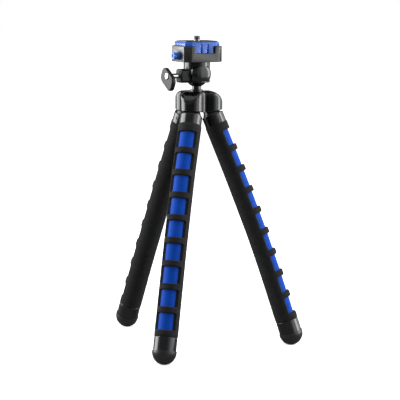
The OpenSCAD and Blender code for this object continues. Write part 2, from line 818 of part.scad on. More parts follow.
hub_shell();
hub_base();
hub_bolt();
ball_stud();
neck_ring();
ball_seat();
socket_cup();
retaining_ring();
friction_shoe();
front_cap();
clamp_body();
clamp_screws();
side_plug();
wing_screw();
wing_knob();
quick_plate();
plate_pad();
camera_screw();
release_button();
latch_bar();
button_spring();
leg_knuckle(FRONT);  // front_leg_knuckle
leg_hinge_pin(FRONT);  // front_leg_hinge_pin
leg_collar(FRONT);  // front_leg_collar
leg_jacket(FRONT, 0);  // front_leg_jacket_1
leg_jacket(FRONT, 1);  // front_leg_jacket_2
leg_jacket(FRONT, 2);  // front_leg_jacket_3
leg_jacket(FRONT, 3);  // front_leg_jacket_4
leg_flex_rings(FRONT);  // front_leg_flex_rings
leg_sleeve(FRONT);  // front_leg_sleeve
leg_core_wire(FRONT);  // front_leg_core_wire
leg_ferrule(FRONT);  // front_leg_ferrule
leg_foot(FRONT);  // front_leg_foot
leg_knuckle(RIGHT);  // right_leg_knuckle
leg_hinge_pin(RIGHT);  // right_leg_hinge_pin
leg_collar(RIGHT);  // right_leg_collar
leg_jacket(RIGHT, 0);  // right_leg_jacket_1
leg_jacket(RIGHT, 1);  // right_leg_jacket_2
leg_jacket(RIGHT, 2);  // right_leg_jacket_3
leg_jacket(RIGHT, 3);  // right_leg_jacket_4
leg_flex_rings(RIGHT);  // right_leg_flex_rings
leg_sleeve(RIGHT);  // right_leg_sleeve
leg_core_wire(RIGHT);  // right_leg_core_wire
leg_ferrule(RIGHT);  // right_leg_ferrule
leg_foot(RIGHT);  // right_leg_foot
leg_knuckle(BACK);  // back_leg_knuckle
leg_hinge_pin(BACK);  // back_leg_hinge_pin
leg_collar(BACK);  // back_leg_collar
leg_jacket(BACK, 0);  // back_leg_jacket_1
leg_jacket(BACK, 1);  // back_leg_jacket_2
leg_jacket(BACK, 2);  // back_leg_jacket_3
leg_jacket(BACK, 3);  // back_leg_jacket_4
leg_flex_rings(BACK);  // back_leg_flex_rings
leg_sleeve(BACK);  // back_leg_sleeve
leg_core_wire(BACK);  // back_leg_core_wire
leg_ferrule(BACK);  // back_leg_ferrule
leg_foot(BACK);  // back_leg_foot
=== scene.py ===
"""Tabletop tripod with bendable foam legs: its looks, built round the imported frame.

Lengths are metres in the frame's axes. Along a leg, s runs down the leg's axis from its hinge pin,
and the angle round a leg starts at its outer side, where the windows are.
"""

import json

import bpy
import mathutils
import numpy as np
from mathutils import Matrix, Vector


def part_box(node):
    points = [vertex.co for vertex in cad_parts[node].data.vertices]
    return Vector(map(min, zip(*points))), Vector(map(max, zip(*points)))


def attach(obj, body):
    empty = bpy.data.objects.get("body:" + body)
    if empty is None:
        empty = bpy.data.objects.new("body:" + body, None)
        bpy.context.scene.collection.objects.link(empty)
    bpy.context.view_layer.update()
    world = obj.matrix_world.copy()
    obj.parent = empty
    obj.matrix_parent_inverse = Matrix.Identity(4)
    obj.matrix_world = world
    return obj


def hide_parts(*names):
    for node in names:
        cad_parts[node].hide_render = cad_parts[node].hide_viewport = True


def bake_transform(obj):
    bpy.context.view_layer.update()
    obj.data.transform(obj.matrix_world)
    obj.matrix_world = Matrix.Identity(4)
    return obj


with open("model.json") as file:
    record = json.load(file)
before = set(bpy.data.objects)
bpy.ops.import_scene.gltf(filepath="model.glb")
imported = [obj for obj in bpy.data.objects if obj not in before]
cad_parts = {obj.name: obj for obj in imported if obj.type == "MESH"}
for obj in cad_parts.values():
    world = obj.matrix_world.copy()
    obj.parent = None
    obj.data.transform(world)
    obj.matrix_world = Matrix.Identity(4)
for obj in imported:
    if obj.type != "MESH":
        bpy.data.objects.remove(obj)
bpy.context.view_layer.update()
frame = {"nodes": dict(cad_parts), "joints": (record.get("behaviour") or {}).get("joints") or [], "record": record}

MM = 0.001
UP = np.array([0.0, 0.0, 1.0])
JOINT = {j["name"]: j for j in frame["joints"]}
MOUNT = {m["name"]: np.array(m["pos_m"]) for m in frame["record"]["mounts"]}
LEGS = ("front_leg", "right_leg", "back_leg")

# Sizes repeated from the part's source
FOAM_R = 10.9 * MM
FOAM_FROM, FOAM_TO = 5.5 * MM, 205.0 * MM
SLEEVE_R = 8.6 * MM
SLEEVE_FROM, SLEEVE_TO = 13.2 * MM, 199.4 * MM
WINDOWS = 9
WINDOW_FIRST, WINDOW_PITCH, WINDOW_LEN = 21.5 * MM, 21.2 * MM, 15.6 * MM
WINDOW_FLOOR, WINDOW_CORNER = 5.0 * MM, 1.6 * MM
FOOT_CENTRE_H = 10.9 * MM
LOBE_AZIMUTH = np.radians([-45.0, 75.0, -165.0])
LOBE_OUT, LOBE_R, CORE_R = 14.1 * MM, 10.7 * MM, 10.8 * MM
HUB_H, ROOF_R, BASE_WALL = 17.8 * MM, 14.0 * MM, 1.6 * MM
ROOF_OUT = LOBE_OUT + LOBE_R + 0.3 * MM - ROOF_R
UNDER_FROM, UNDER_SLOPE = 23.4 * MM, np.tan(np.radians(7.0))
CUP_R, CUP_DOWN, CUP_UP, CUP_BORE = 12.4 * MM, 6.4 * MM, 13.2 * MM, 10.95 * MM
KEEPER_R, KEEPER_H = 11.35 * MM, 2.2 * MM
BOSS_R, BOSS_OUT, BOSS_UP = 10.4 * MM, 13.2 * MM, 1.8 * MM
LUG_W, LUG_ROUND, LUG_OUT, WING_R = 12.8 * MM, 2.4 * MM, 18.8 * MM, 2.45 * MM
SCREW_R, SCREW_UP = 3.175 * MM, 4.6 * MM
KNOB_OUT, KNOB_T, KNOB_LEN, KNOB_W = 26.6 * MM, 4.4 * MM, 24.5 * MM, 15.0 * MM
KNOB_ROUND, KNOB_ASIDE, KNOB_TURN = 5.5 * MM, 3.6 * MM, np.radians(60.0)
KNOB_HUB_R, KNOB_HUB_H = 3.4 * MM, 1.0 * MM

# Edges, hollows and fullness that are chosen here
FOAM_EDGE, FOAM_EDGE_IN = 0.7 * MM, 0.8   # a free end's edge, and how much of its quarter circle is taken in
HOLLOW_R, SHOULDER_R = 3.0 * MM, 4.2 * MM
DOME_FROM, DOME_FULL = 8.6 * MM, 2.25     # where the boss's dome begins, and its power: 2 is an ellipse
LUG_EDGE, LUG_SINK = 1.0 * MM, 0.7 * MM   # the lug's end edge, and how far its root goes into the cup's wall
KNOB_EDGE = 1.2 * MM

HUB_AT = MOUNT["camera_screw"] * [1, 1, 0]
HUB_Z = float(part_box("hub_base")[0].z)
BALL = np.array(JOINT["ball_tilt"]["pos_m"])


# Shapes

def smoothstep(t):
    """3t^2 - 2t^3, held at 0 below 0 and at 1 above 1."""
    t = np.clip(t, 0, 1)
    return t * t * (3 - 2 * t)


def unit(v):
    """Vectors along the last axis, at length 1."""
    return v / np.linalg.norm(v, axis=-1, keepdims=True)


def skin(name, rows, ring=False):
    """A closed mesh over rows of points. Each row is a loop, and quads join it to the next one.

    With ring the last row joins the first, as in a pipe's wall. Otherwise a fan from the middle of the
    first row and one of the last close the ends. Faces are turned to give a positive volume.
    """
    count, wide = rows.shape[:2]
    index = np.arange(count * wide).reshape(count, wide)
    below = np.roll(index, -1, axis=0) if ring else index[1:]
    above = index if ring else index[:-1]
    quads = np.stack([above, np.roll(above, -1, 1), np.roll(below, -1, 1), below], -1).reshape(-1, 4)
    points = rows.reshape(-1, 3)
    fans = np.zeros((0, 3), int)
    if not ring:
        points = np.vstack([points, rows[0].mean(0), rows[-1].mean(0)])
        first, last = index[0], index[-1]
        tip = np.full(wide, count * wide)
        fans = np.vstack([
            np.stack([tip, np.roll(first, -1), first], -1),
            np.stack([tip + 1, last, np.roll(last, -1)], -1),
        ])
    triangles = np.vstack([quads[:, [0, 1, 2]], quads[:, [0, 2, 3]], fans])
    a, b, c = (points[triangles[:, i]] - points.mean(0) for i in range(3))
    if np.einsum("ij,ij->", a, np.cross(b, c)) < 0:
        quads, fans = quads[:, ::-1], fans[:, ::-1]
    mesh = bpy.data.meshes.new(name)
    mesh.from_pydata(points.tolist(), [], quads.tolist() + fans.tolist())
    return finished(name, mesh)


def finished(name, mesh, sharp=np.radians(50)):
    """An object at the origin for a mesh, smooth except where its faces meet at more than the sharp angle."""
    mesh.polygons.foreach_set("use_smooth", np.ones(len(mesh.polygons), bool))
    mesh.set_sharp_from_angle(angle=sharp)
    mesh.update()
    obj = bpy.data.objects.new(name, mesh)
    bpy.context.scene.collection.objects.link(obj)
    return obj


def eased(corners, radii, steps=5, hold=0.15 * MM):
    """A line through corners with each inner corner turned into an arc of its own radius.

    The arc touches both sides at radius / tan(half the corner's angle). A point just outside each
    end of the arc keeps the straight sides flat when they are shaded smooth.
    """
    p = np.array(corners, float)
    out = [p[:1]]
    for before, corner, after, radius in zip(p[:-2], p[1:-1], p[2:], radii):
        u, v = unit(before - corner), unit(after - corner)
        half = np.arccos(np.clip(u @ v, -1, 1)) / 2
        cut = radius / np.tan(half)
        centre = corner + unit(u + v) * radius / np.sin(half)
        first, last = corner + u * cut - centre, corner + v * cut - centre
        t = np.linspace(0, 1, steps)[:, None]
        turn = np.pi - 2 * half
        arc = (np.sin((1 - t) * turn) * first + np.sin(t * turn) * last) / np.sin(turn) + centre
        out += [corner + u[None] * (cut + hold), arc, corner + v[None] * (cut + hold)]
    return np.vstack(out + [p[-1:]])


def turned(name, profile, origin, axis, steps=96):
    """A profile of (radius, height) pairs carried round an axis through origin."""
    axis = unit(np.array(axis, float))
    u = unit(np.cross(axis, [0.31, 0.52, 0.79]))
    v = np.cross(axis, u)
    angle = np.linspace(0, 2 * np.pi, steps, endpoint=False)[None, :, None]
    r, h = profile[:, 0, None, None], profile[:, 1, None, None]
    return skin(name, origin + h * axis + r * (np.cos(angle) * u + np.sin(angle) * v))


def eased_copy(name, node, width, segments=3, angle=32):
    """A copy of a CAD node's mesh, merged, with its sharp edges rounded."""
    mesh = frame["nodes"][node].data.copy()
    mesh.materials.clear()
    obj = finished(name, mesh)
    weld = obj.modifiers.new("merge", "WELD")
    weld.merge_threshold = 1e-6
    bevel = obj.modifiers.new("round", "BEVEL")
    bevel.width, bevel.segments = width, segments
    bevel.limit_method, bevel.angle_limit = "ANGLE", np.radians(angle)
    bevel.use_clamp_overlap = False
    bevel.harden_normals = True
    return obj


# Legs

def leg_axis(leg):
    """A leg's axis as arrays over s: where it is, and its outward and sideways directions there.

    The lean from upright changes at each bend station by a smoothstep over the stretch that turns, and
    the axis is the running sum of sin(lean) outwards and cos(lean) down, from the hinge pin.
    """
    foot = MOUNT[leg.replace("_leg", "_foot")] + UP * FOOT_CENTRE_H
    knots = np.array([JOINT[leg + "_fold"]["pos_m"]]
                     + [JOINT[f"{leg}_bend_{i}"]["pos_m"] for i in (1, 2, 3)] + [foot])
    step = np.diff(knots, axis=0)
    stations = np.cumsum(np.linalg.norm(step, axis=1))[:3]
    out = unit(step[0] * [1, 1, 0])
    leans = np.arctan2(step @ out, -step[:, 2])
    s = np.linspace(0, 230 * MM, 921)
    share = smoothstep((s[:, None] - stations + TURN) / (2 * TURN))
    lean = (leans[0] + share @ np.diff(leans))[:, None]
    down = np.sin(lean) * out - np.cos(lean) * UP
    run = np.vstack([np.zeros(3), np.cumsum((down[1:] + down[:-1]) / 2 * np.diff(s)[:, None], axis=0)])
    return {"s": s, "at": knots[0] + run, "out": np.cos(lean) * out + np.sin(lean) * UP,
            "side": np.broadcast_to(np.cross(UP, out), run.shape), "stations": stations}


def along(axis, key, s):
    """One of the axis's arrays, read at each s."""
    return np.stack([np.interp(s, axis["s"], axis[key][:, i]) for i in range(3)], -1)


def round_leg(axis, s, angle, r):
    """Points at distance r from the axis, at each s (rows) and angle (columns)."""
    at, out, side = (along(axis, key, s)[:, None] for key in ("at", "out", "side"))
    r = np.broadcast_to(r, (len(s), len(angle)))[..., None]
    return at + r * (np.cos(angle)[:, None] * out + np.sin(angle)[:, None] * side)


TURN = 18 * MM           # half of the stretch over which a leg turns at a station
FOAM_BORE = 7.8 * MM
FOAM_FLOOR_R = 8.2 * MM  # the windows' floor goes this deep, just under the sleeve's skin
CUTS = (74.5 * MM, 138.1 * MM)
# How far a window's end wall has dropped, by the distance into the window from that wall
LIP_IN = np.array([-0.9, -0.6, -0.38, -0.2, -0.06, 0.04, 0.12, 0.2, 0.3, 0.45, 0.8]) * MM
LIP_DROP = np.array([0.0, 0.008, 0.035, 0.1, 0.21, 0.37, 0.57, 0.76, 0.91, 0.985, 1.0])
# Angles round half a leg, closest together at a window's long edges
HALF_TURN = np.radians(np.concatenate([
    np.arange(0, 46, 3.5), np.arange(46, 58, 2.0), np.arange(58, 69, 1.0), np.arange(70, 82, 2.0),
    np.arange(84, 180, 5.0)]))
FOAM_ANGLES = np.concatenate([HALF_TURN, [np.pi], -HALF_TURN[:0:-1]])


def foam_radius(s, angle):
    """Radius of the foam: full between the windows, less where a flat floor notches it.

    The floor is a plane at a fixed distance from the axis, so its radius is that distance / cos(angle),
    blended into the full radius by (x + sqrt(x^2 + k^2)) / 2. The end walls follow the lip's curve.
    """
    k = 0.35 * MM
    facing = np.maximum(np.cos(angle), 1e-3)
    x = FOAM_R - np.maximum(WINDOW_FLOOR / facing, FOAM_FLOOR_R)
    depth = np.where(np.abs(angle) < np.pi / 2, (x + np.sqrt(x * x + k * k)) / 2, 0)
    rise = np.clip(FOAM_R * np.cos(angle) - WINDOW_FLOOR, 0, WINDOW_CORNER)
    shorter = WINDOW_CORNER - np.sqrt(WINDOW_CORNER**2 - (WINDOW_CORNER - rise) ** 2)
    number = np.clip(np.round((s - WINDOW_FIRST) / WINDOW_PITCH), 0, WINDOWS - 1)
    inside = WINDOW_LEN / 2 - np.abs(s - WINDOW_FIRST - number * WINDOW_PITCH)
    return FOAM_R - depth * np.interp(inside[:, None] - shorter, LIP_IN, LIP_DROP)


def foam_rows(start, stop):
    """Where the foam's rows lie along the leg: close together at the windows' lips."""
    half = WINDOW_LEN / 2
    offsets = np.concatenate([half - LIP_IN, [half - 1.3 * MM, half - 2 * MM, half - 4 * MM, 0]])
    middles = WINDOW_FIRST + WINDOW_PITCH * np.arange(WINDOWS)
    s = (middles[:, None] + np.concatenate([offsets, -offsets])).ravel()
    gaps = WINDOW_FIRST + WINDOW_PITCH * (np.arange(WINDOWS + 1) - 0.5)
    s = np.concatenate([s, gaps, gaps - 1 * MM, gaps + 1 * MM, [start + FOAM_EDGE, stop - FOAM_EDGE]])
    s = np.unique(np.round(s[(s > start + 0.05 * MM) & (s < stop - 0.05 * MM)], 6))
    return np.concatenate([[start], s, [stop]])


def foam_piece(name, axis, start, stop, open_start, open_stop):
    """One length of foam: a pipe whose outer wall follows foam_radius.

    A free end is rounded: its radius falls by 1 - sqrt(1 - n^2) of the edge, n being the nearness to the end.
    """
    s = foam_rows(start, stop)
    r = foam_radius(s, FOAM_ANGLES)
    for free, gap in ((open_start, s - start), (open_stop, stop - s)):
        if free:
            near = np.clip(1 - gap / FOAM_EDGE, 0, 1)
            r = r - FOAM_EDGE_IN * FOAM_EDGE * (1 - np.sqrt(1 - near**2))[:, None]
    inner = np.linspace(stop, start, 1 + len(s) // 5)
    rows = [round_leg(axis, s, FOAM_ANGLES, r), round_leg(axis, inner, FOAM_ANGLES, FOAM_BORE)]
    return skin(name, np.vstack(rows), ring=True)


def sleeve_piece(name, axis, start, stop):
    """One length of the blue sleeve: a round rod along the leg's axis, close enough in rows to bend."""
    s = np.linspace(start, stop, 1 + int((stop - start) / (0.8 * MM)))
    angle = np.linspace(0, 2 * np.pi, 72, endpoint=False)
    return skin(name, round_leg(axis, s, angle, SLEEVE_R))


ROOT_BALL = 10.0 * MM    # just inside the collar, whose pin is the ball's middle
# Height over the pin, shift towards the hub's middle and radius of the root's upper rings
ROOT_TOP = np.array([(4.2, 0.5, 9.3), (6.0, 1.6, 8.5), (7.6, 2.4, 7.9), (8.4, 2.7, 7.6)]) * MM


def root_piece(leg):
    """The soft root between hub and collar, as level rings round the hinge pin.

    Up to the first ring of ROOT_TOP it is a ball, so it stays inside the collar as the leg folds. From
    there each ring is one of ROOT_TOP, and the last lies just under the hub.
    """
    axis = leg_axis(leg)
    side = axis["side"][0]
    out = np.cross(side, UP)
    height = ROOT_BALL * np.sin(np.linspace(-0.48 * np.pi, 0.08 * np.pi, 24))
    ball = np.stack([height, 0 * height, np.sqrt(ROOT_BALL**2 - height**2)], -1)
    h, shift, r = (column[:, None, None] for column in np.vstack([ball, ROOT_TOP]).T)
    angle = np.linspace(0, 2 * np.pi, 72, endpoint=False)[None, :, None]
    middle = axis["at"][0] + h * UP - shift * out
    return skin(f"{leg}_root", middle + r * (np.cos(angle) * out + np.sin(angle) * side))


def build_leg(leg):
    """One leg: foam and sleeve in three lengths, each turning at its own bend station, and the soft root."""
    axis = leg_axis(leg)
    foam_nodes = [[leg + "_jacket_1", leg + "_flex_rings"], [leg + "_jacket_2"],
                  [leg + "_jacket_3", leg + "_jacket_4"]]
    foam_ends = (FOAM_FROM, *CUTS, FOAM_TO)
    sleeve_ends = (SLEEVE_FROM, *CUTS, SLEEVE_TO)
    for i in range(3):
        foam = foam_piece(f"{leg}_foam_{i + 1}", axis, foam_ends[i], foam_ends[i + 1], i == 0, i == 2)
        sleeve = sleeve_piece(f"{leg}_blue_{i + 1}", axis, sleeve_ends[i], sleeve_ends[i + 1])
        for piece in (foam, sleeve):
            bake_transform(piece)
        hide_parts(*foam_nodes[i])
        dress(foam, FOAM)
        dress(sleeve, BLUE_SLEEVE)
        if i == 0:
            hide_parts(leg + "_sleeve", leg + "_core_wire")
    mount(root_piece(leg), leg + "_knuckle", "black_plastic", leg + "_knuckle", finish=RUBBER)


# Hub

def hub_outline():
    """Outline of the hub with its outward normals: three lobes run into the core by round hollows.

    In a lobe's own axes, a hollow of radius f is centred where the circles of radius core + f about the
    axis and lobe + f about the lobe's middle cross. The lobe is turned into its place three times.
    """
    f = HOLLOW_R
    x = ((CORE_R + f) ** 2 + LOBE_OUT**2 - (LOBE_R + f) ** 2) / (2 * LOBE_OUT)
    y = np.sqrt((CORE_R + f) ** 2 - x * x)
    reach = np.arctan2(y, x - LOBE_OUT)
    lobe = np.linspace(-reach, reach, 121)
    hollow = np.linspace(np.arctan2(-y, LOBE_OUT - x), np.arctan2(-y, -x), 26)[1:]
    normal = np.stack([np.cos(lobe), np.sin(lobe)], -1)
    wall = normal * LOBE_R + [LOBE_OUT, 0]
    inward = np.stack([np.cos(hollow), np.sin(hollow)], -1)
    bay = inward * f + [x, y]
    near, near_normal = bay[::-1] * [1, -1], -inward[::-1] * [1, -1]
    points = np.vstack([near, wall, bay])
    normals = np.vstack([near_normal, normal, -inward])
    return points, normals


def roof_height(x):
    """Height of a lobe's roof: flat out to ROOF_OUT and then a quarter circle down."""
    over = np.clip(x - ROOF_OUT, 0, ROOF_R)
    return HUB_H - ROOF_R + np.sqrt(ROOF_R**2 - over**2)


def hub_piece():
    """The hub: skirt, wall, round shoulder and roof as rows round the outline.

    The shoulder is the path of a ball of radius e that touches wall and roof from inside. The ball's
    middle lies e inside the wall, on a roof of radius R - e, and the shoulder is the arc about it from
    the wall's normal to the roof's. The roof's rows shrink the shoulder's inner edge towards the axis.
    """
    flat, flat_normal = hub_outline()
    e = SHOULDER_R
    inset = flat - e * flat_normal
    over = np.clip(inset[:, 0] - ROOF_OUT, 0, (ROOF_R - e) * 0.999)
    middle = np.column_stack([inset, HUB_H - ROOF_R + np.sqrt((ROOF_R - e) ** 2 - over**2)])
    wall_n = np.column_stack([flat_normal, np.zeros(len(flat))])
    slope = over / (ROOF_R - e)
    roof_n = np.column_stack([slope, np.zeros(len(flat)), np.sqrt(1 - slope**2)])
    t = np.linspace(0, 1, 11)[:, None, None]
    shoulder = middle + e * unit((1 - t) * wall_n + t * roof_n)
    skirt = UNDER_SLOPE * (flat[:, 0] - UNDER_FROM)
    # The skirt's lower edge: distance in from the wall, and height
    low = np.array([[BASE_WALL, 0.0], [0.5 * MM, 0.0], [0.22 * MM, 0.05 * MM], [0.06 * MM, 0.2 * MM],
                    [0.0, 0.5 * MM], [0.0, 0.9 * MM]])
    under = np.stack([np.column_stack([flat - flat_normal * gap, skirt + h]) for gap, h in low])
    inside = np.column_stack([flat - flat_normal * BASE_WALL, np.full(len(flat), 0.4 * MM)])[None]
    rise = np.linspace(0, 1, 6)[1:-1, None, None]
    wall = under[-1] * (1 - rise) + shoulder[0] * rise
    shrink = np.concatenate([np.linspace(0.985, 0.9, 8), np.linspace(0.88, 0.25, 22)])[:, None, None]
    roof_xy = shoulder[-1][None, :, :2] * shrink
    roof = np.dstack([roof_xy, roof_height(roof_xy[..., 0])])
    rows = np.concatenate([inside, under, wall, shoulder, roof])
    lobes = []
    for a in LOBE_AZIMUTH - np.pi / 2:
        c, s = np.cos(a), np.sin(a)
        lobes.append(rows @ np.array([[c, s, 0], [-s, c, 0], [0, 0, 1]]))
    return skin("hub_body", np.concatenate(lobes, axis=1) + HUB_AT + UP * HUB_Z)


# Head

def cup_wall():
    """The ball cup: an upright pot turned about the hub's axis, open below.

    Its profile is a line through corners: roof, bore, the keeper's step in the rim, wall and top.
    """
    tip, roof = 0.3 * MM, CUP_BORE + 0.25 * MM
    step = KEEPER_H - CUP_DOWN
    corners = [[tip, roof], [CUP_BORE, roof], [CUP_BORE, step], [KEEPER_R, step], [KEEPER_R, -CUP_DOWN],
               [CUP_R, -CUP_DOWN], [CUP_R, CUP_UP], [tip, CUP_UP]]
    radii = np.array([0.3, 0.1, 0.1, 0.15, 0.45, 0.3]) * MM
    return turned("cup_wall", eased(corners, radii, hold=0.05 * MM), BALL, UP, 128)


def cup_boss():
    """The domed boss on the cup's front: a cap turned about its own axis and cut level with the cup's rim.

    The dome is a quarter of (r / R)^p + (h / H)^p = 1, fuller than an ellipse. Its hollow back stays
    clear of the ball, at sqrt(b^2 - (r - up)^2) from the axis.
    """
    a = np.linspace(0.03, 1, 36) * np.pi / 2
    power, high = 2 / DOME_FULL, BOSS_OUT - DOME_FROM
    dome = np.stack([BOSS_R * np.sin(a) ** power, DOME_FROM + high * np.cos(a) ** power], -1)
    r = np.linspace(0.985, 0.02, 16) * BOSS_R
    back = np.stack([r, np.sqrt((CUP_BORE + 0.1 * MM) ** 2 - np.clip(r - BOSS_UP, 0, None) ** 2)], -1)
    profile = np.vstack([dome, [[BOSS_R, DOME_FROM - 1.2 * MM]], back])
    angle = np.linspace(0, 2 * np.pi, 128, endpoint=False)[None]
    r, h = profile[:, :1], profile[:, 1:]
    rows = np.dstack([r * np.cos(angle), np.broadcast_to(-h, (len(r), 128)), BOSS_UP + r * np.sin(angle)])
    rows[..., 2] = np.maximum(rows[..., 2], -CUP_DOWN + 0.1 * MM)
    return skin("cup_boss", BALL + rows)


def cup_lug():
    """The lug that the wing screw runs in: a bored square bar with round corners and a round end.

    Its outline is four corner arcs, as on the knob. Rows go out along the bar, round the end's edge by
    an arc, over the end and back through the bore. The root lies inside the cup's wall, at sqrt(m^2 - y^2).
    """
    a = np.linspace(0, 2 * np.pi, 128, endpoint=False) + np.pi / 128
    turn = np.stack([np.cos(a), np.sin(a)], -1)
    corner = np.sign(turn) * (LUG_W / 2 - LUG_ROUND)
    e, wall = LUG_EDGE, CUP_R - LUG_SINK
    arc = np.linspace(0, np.pi / 2, 7)[:, None, None]
    outline = corner + turn * LUG_ROUND
    edge = corner + turn * (LUG_ROUND - e + e * np.cos(arc))
    out = LUG_OUT - e + e * np.sin(arc[..., 0]) + np.zeros(len(a))
    root = np.sqrt(wall**2 - outline[:, 0] ** 2)
    bore = turn * WING_R
    bore_root = np.sqrt(wall**2 - bore[:, 0] ** 2)
    flat = np.stack([outline, outline, *edge, (bore + edge[-1]) / 2, bore * 1.12, bore, bore])
    far = np.stack([root, 0 * a + LUG_OUT - e - 0.3 * MM, *out, *np.full((3, len(a)), LUG_OUT), bore_root])
    return skin("cup_lug", BALL + np.dstack([-far, flat[..., 0], flat[..., 1]]), ring=True)


def screw_thread():
    """The camera screw's thread: a rod whose radius follows a rounded vee that climbs one pitch a turn."""
    pitch, deep, chamfer = 1.27 * MM, 0.62 * MM, 0.7 * MM
    low = MOUNT["camera_screw"][2] - SCREW_UP / 2
    h = np.linspace(-0.6 * MM, SCREW_UP, 84)[:, None]
    angle = np.linspace(0, 2 * np.pi, 72, endpoint=False)[None]
    phase = (h / pitch - angle / (2 * np.pi)) % 1
    vee = np.clip(np.abs(phase - 0.5) * 2.5 - 0.2, 0, 1)
    fade = smoothstep((h + 0.2 * MM) / (0.6 * MM))
    r = SCREW_R - deep * vee * fade
    r = np.minimum(r, SCREW_R - 0.05 * MM - np.clip(h - (SCREW_UP - chamfer), 0, None) * 0.9)
    rows = np.dstack([r * np.cos(angle), r * np.sin(angle), np.broadcast_to(h, r.shape)])
    return skin("screw_thread", rows + HUB_AT + UP * low)


def screw_core():
    """The camera screw's head and shank: its CAD node, with the part above the pad slimmed and lowered."""
    slim, lower = 0.6, 0.4 * MM
    mesh = frame["nodes"]["camera_screw"].data.copy()
    mesh.materials.clear()
    co = np.zeros(len(mesh.vertices) * 3)
    mesh.vertices.foreach_get("co", co)
    co = co.reshape(-1, 3)
    above = co[:, 2] > MOUNT["camera_screw"][2] - SCREW_UP / 2 + 1e-6
    shrunk = HUB_AT + (co - HUB_AT) * [slim, slim, 1]
    shrunk[:, 2] -= lower
    co[above] = shrunk[above]
    mesh.vertices.foreach_set("co", co.ravel())
    return finished("screw_core", mesh)


def wing_knob():
    """The wing knob: a wide paddle with round corners and edges, and a steel boss on the screw's end.

    The outline is four arcs about the corners' middles: (sign(cos a)(L/2 - r) + r cos a, the same with
    sin and W). Rows go from the middle of one face round the edge's arc to the middle of the other.
    """
    a = np.linspace(0, 2 * np.pi, 160, endpoint=False) + np.pi / 160
    turn = np.stack([np.cos(a), np.sin(a)], -1)
    corner = np.sign(turn) * [KNOB_LEN / 2 - KNOB_ROUND, KNOB_W / 2 - KNOB_ROUND]
    e = KNOB_EDGE
    inset = corner + turn * (KNOB_ROUND - e)
    arc = np.linspace(0, np.pi / 2, 7)[:, None]
    share = np.linspace(0.05, 0.98, 16)

    def face(height):
        xy = inset * share[:, None, None]
        return np.dstack([xy, np.full(xy.shape[:2], height)])

    def edge(grow, height):
        return np.dstack([inset + e * grow[..., None] * turn, np.broadcast_to(height, (len(grow), len(a)))])

    rows = np.concatenate([face(0.0), edge(np.sin(arc), e - e * np.cos(arc)),
                           edge(np.cos(arc), KNOB_T - e + e * np.sin(arc)), face(KNOB_T)[::-1]])
    c, s = np.cos(KNOB_TURN), np.sin(KNOB_TURN)
    x, y, z = rows[..., 0], rows[..., 1] + KNOB_ASIDE, rows[..., 2]
    paddle = skin("knob_paddle", BALL + np.dstack([-z - KNOB_OUT, x * s + y * c, x * c - y * s]))
    top = KNOB_T + KNOB_HUB_H
    profile = eased([[0.3 * MM, 0.3 * MM], [KNOB_HUB_R, 0.3 * MM], [KNOB_HUB_R, top], [0.3 * MM, top]],
                    [0.2 * MM, 0.8 * MM])
    boss = turned("knob_boss", profile, BALL - [KNOB_OUT, 0, 0], [-1, 0, 0], 64)
    return paddle, boss


# Finishes

def node_group(name, inputs, outputs):
    """An empty shader group with float inputs, given with their defaults, and float outputs."""
    group = bpy.data.node_groups.new(name, "ShaderNodeTree")
    for label, value in inputs.items():
        socket = group.interface.new_socket(label, in_out="INPUT", socket_type="NodeSocketFloat")
        socket.default_value = value
    for label in outputs:
        group.interface.new_socket(label, in_out="OUTPUT", socket_type="NodeSocketFloat")
    return group, group.nodes.new("NodeGroupInput"), group.nodes.new("NodeGroupOutput")


def add(tree, kind, settings=None, **sockets):
    """A node in a tree. A socket's value is a number, a colour, or another node's output to link."""
    node = tree.nodes.new(kind)
    for key, value in (settings or {}).items():
        setattr(node, key, value)
    for key, value in sockets.items():
        label = key.replace("_", " ")
        socket = node.inputs[label] if label in node.inputs else node.inputs[int(key[1:])]
        if isinstance(value, bpy.types.NodeSocket):
            tree.links.new(value, socket)
        else:
            socket.default_value = value
    return node


def maths(tree, operation, a, b=0.0):
    """The output of a Math node."""
    return add(tree, "ShaderNodeMath", {"operation": operation}, i0=a, i1=b).outputs[0]


def noise(tree, place, scale, detail, rough):
    """The output of a Noise node at a place."""
    node = add(tree, "ShaderNodeTexNoise", Vector=place, Scale=scale, Detail=detail, Roughness=rough)
    return node.outputs["Fac"]


def moulded_group():
    """Moulded plastic: a fine grain, a soft flow pattern and small handling marks."""
    group, given, out = node_group("moulded_skin", {"Grain": 2600.0, "Flow": 55.0},
                                   ["Height", "Tone", "Gloss"])
    place = add(group, "ShaderNodeTexCoord").outputs["Object"]
    grain = noise(group, place, given.outputs["Grain"], 3.0, 0.6)
    flow = noise(group, place, given.outputs["Flow"], 4.0, 0.55)
    marks = noise(group, place, 260.0, 6.0, 0.7)
    group.links.new(grain, out.inputs["Height"])
    group.links.new(flow, out.inputs["Tone"])
    mixed = maths(group, "ADD", maths(group, "MULTIPLY", flow, 0.6), maths(group, "MULTIPLY", marks, 0.4))
    group.links.new(mixed, out.inputs["Gloss"])
    return group


def cells_group():
    """Closed foam: small cells of uneven size over a soft, slightly lumpy skin."""
    group, given, out = node_group("foam_cells", {"Cell": 1500.0, "Lumps": 160.0}, ["Height", "Tone", "Pits"])
    place = add(group, "ShaderNodeTexCoord").outputs["Object"]
    cells = add(group, "ShaderNodeTexVoronoi", Vector=place, Scale=given.outputs["Cell"], Randomness=1.0)
    lumps = noise(group, place, given.outputs["Lumps"], 5.0, 0.65)
    pits = add(group, "ShaderNodeMapRange", Value=cells.outputs["Distance"], From_Min=0.12, From_Max=0.55)
    height = maths(group, "ADD", maths(group, "MULTIPLY", pits.outputs[0], 0.45),
                   maths(group, "MULTIPLY", lumps, 0.9))
    group.links.new(height, out.inputs["Height"])
    group.links.new(lumps, out.inputs["Tone"])
    group.links.new(pits.outputs[0], out.inputs["Pits"])
    return group


